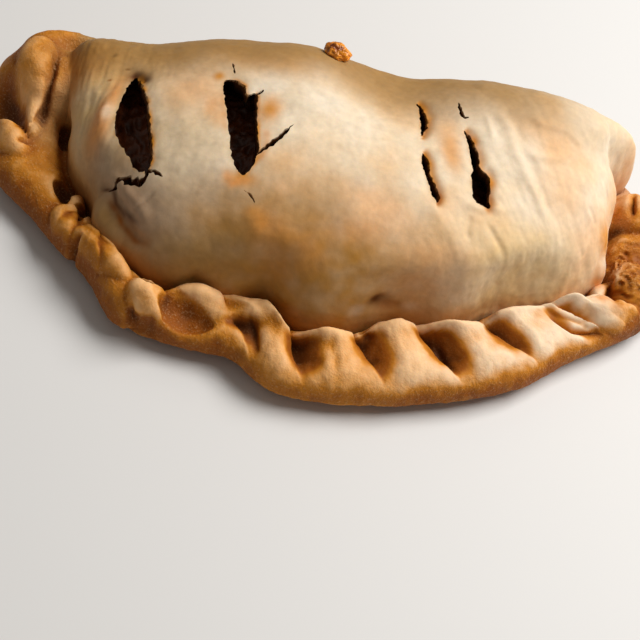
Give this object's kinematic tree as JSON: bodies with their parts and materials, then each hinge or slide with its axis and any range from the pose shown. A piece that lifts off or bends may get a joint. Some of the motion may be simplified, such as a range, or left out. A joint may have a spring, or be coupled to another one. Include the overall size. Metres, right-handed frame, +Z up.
{
  "type": "calzone",
  "caption": "Baked half-moon calzone with a smooth domed crust slashed in the crown, a thick pleated rope edge, a meat filling seen in the slashes and a browned lump of cheese.",
  "frame": {"origin": "centre of the bounding box in plan, on the plane of the flat underside", "axes": "+X along the fold, -Y towards the crimped rope edge, +Z up"},
  "size_m": [0.206, 0.1062, 0.0468],
  "materials": {
    "baked_dough": "matte",
    "meat_filling": "satin",
    "browned_cheese": "satin"
  },
  "bodies": {
    "root": {"crust": "baked_dough", "filling": "meat_filling", "browned_cheese": "browned_cheese"}
  },
  "joints": []
}
